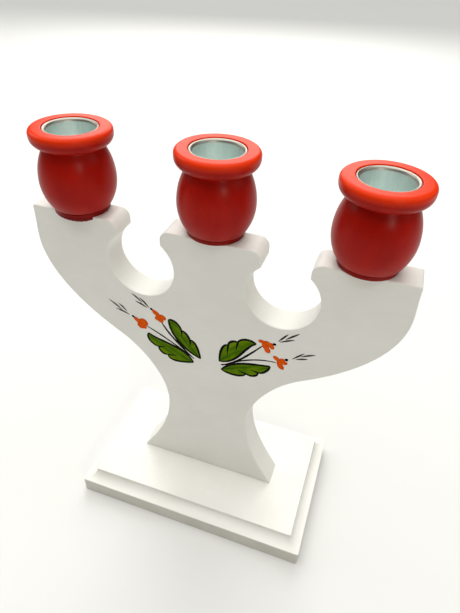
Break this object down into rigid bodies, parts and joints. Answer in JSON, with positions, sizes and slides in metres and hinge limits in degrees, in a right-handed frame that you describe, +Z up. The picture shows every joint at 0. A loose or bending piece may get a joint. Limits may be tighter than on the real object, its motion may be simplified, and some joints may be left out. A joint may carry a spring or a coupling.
{
  "type": "candle holder",
  "caption": "White painted wooden candle holder sawn to a tree outline on a moulded base, with red turned cups and lift-out metal candle inserts.",
  "frame": {"origin": "centre of the base's underside, on the surface that it stands on", "axes": "+X along the board towards its right-hand arm, +Y from the painted front to the back, +Z up"},
  "size_m": [0.1972, 0.09, 0.2375],
  "materials": {
    "white_paint": "satin white enamel brushed over sanded wood",
    "red_paint": "satin red enamel over turned wood",
    "insert_metal": "pressed tin-plated steel, dull inside and bright on the rolled lip",
    "screw_zinc": "zinc-plated wood screw"
  },
  "bodies": {
    "holder": {"base_plinth": "white_paint", "tree_board": "white_paint", "left_candle_cup": "red_paint", "centre_candle_cup": "red_paint", "right_candle_cup": "red_paint", "left_cup_screw": "screw_zinc", "centre_cup_screw": "screw_zinc", "right_cup_screw": "screw_zinc", "left_base_screw": "screw_zinc", "right_base_screw": "screw_zinc"},
    "left_insert": {"left_candle_insert": "insert_metal"},
    "centre_insert": {"centre_candle_insert": "insert_metal"},
    "right_insert": {"right_candle_insert": "insert_metal"}
  },
  "joints": [
    {"name": "left_insert_lift", "type": "slide", "parent": "holder", "child": "left_insert", "axis": [0, 0, 1], "range_m": [0, 0.024]},
    {"name": "centre_insert_lift", "type": "slide", "parent": "holder", "child": "centre_insert", "axis": [0, 0, 1], "range_m": [0, 0.024]},
    {"name": "right_insert_lift", "type": "slide", "parent": "holder", "child": "right_insert", "axis": [0, 0, 1], "range_m": [0, 0.024]}
  ]
}
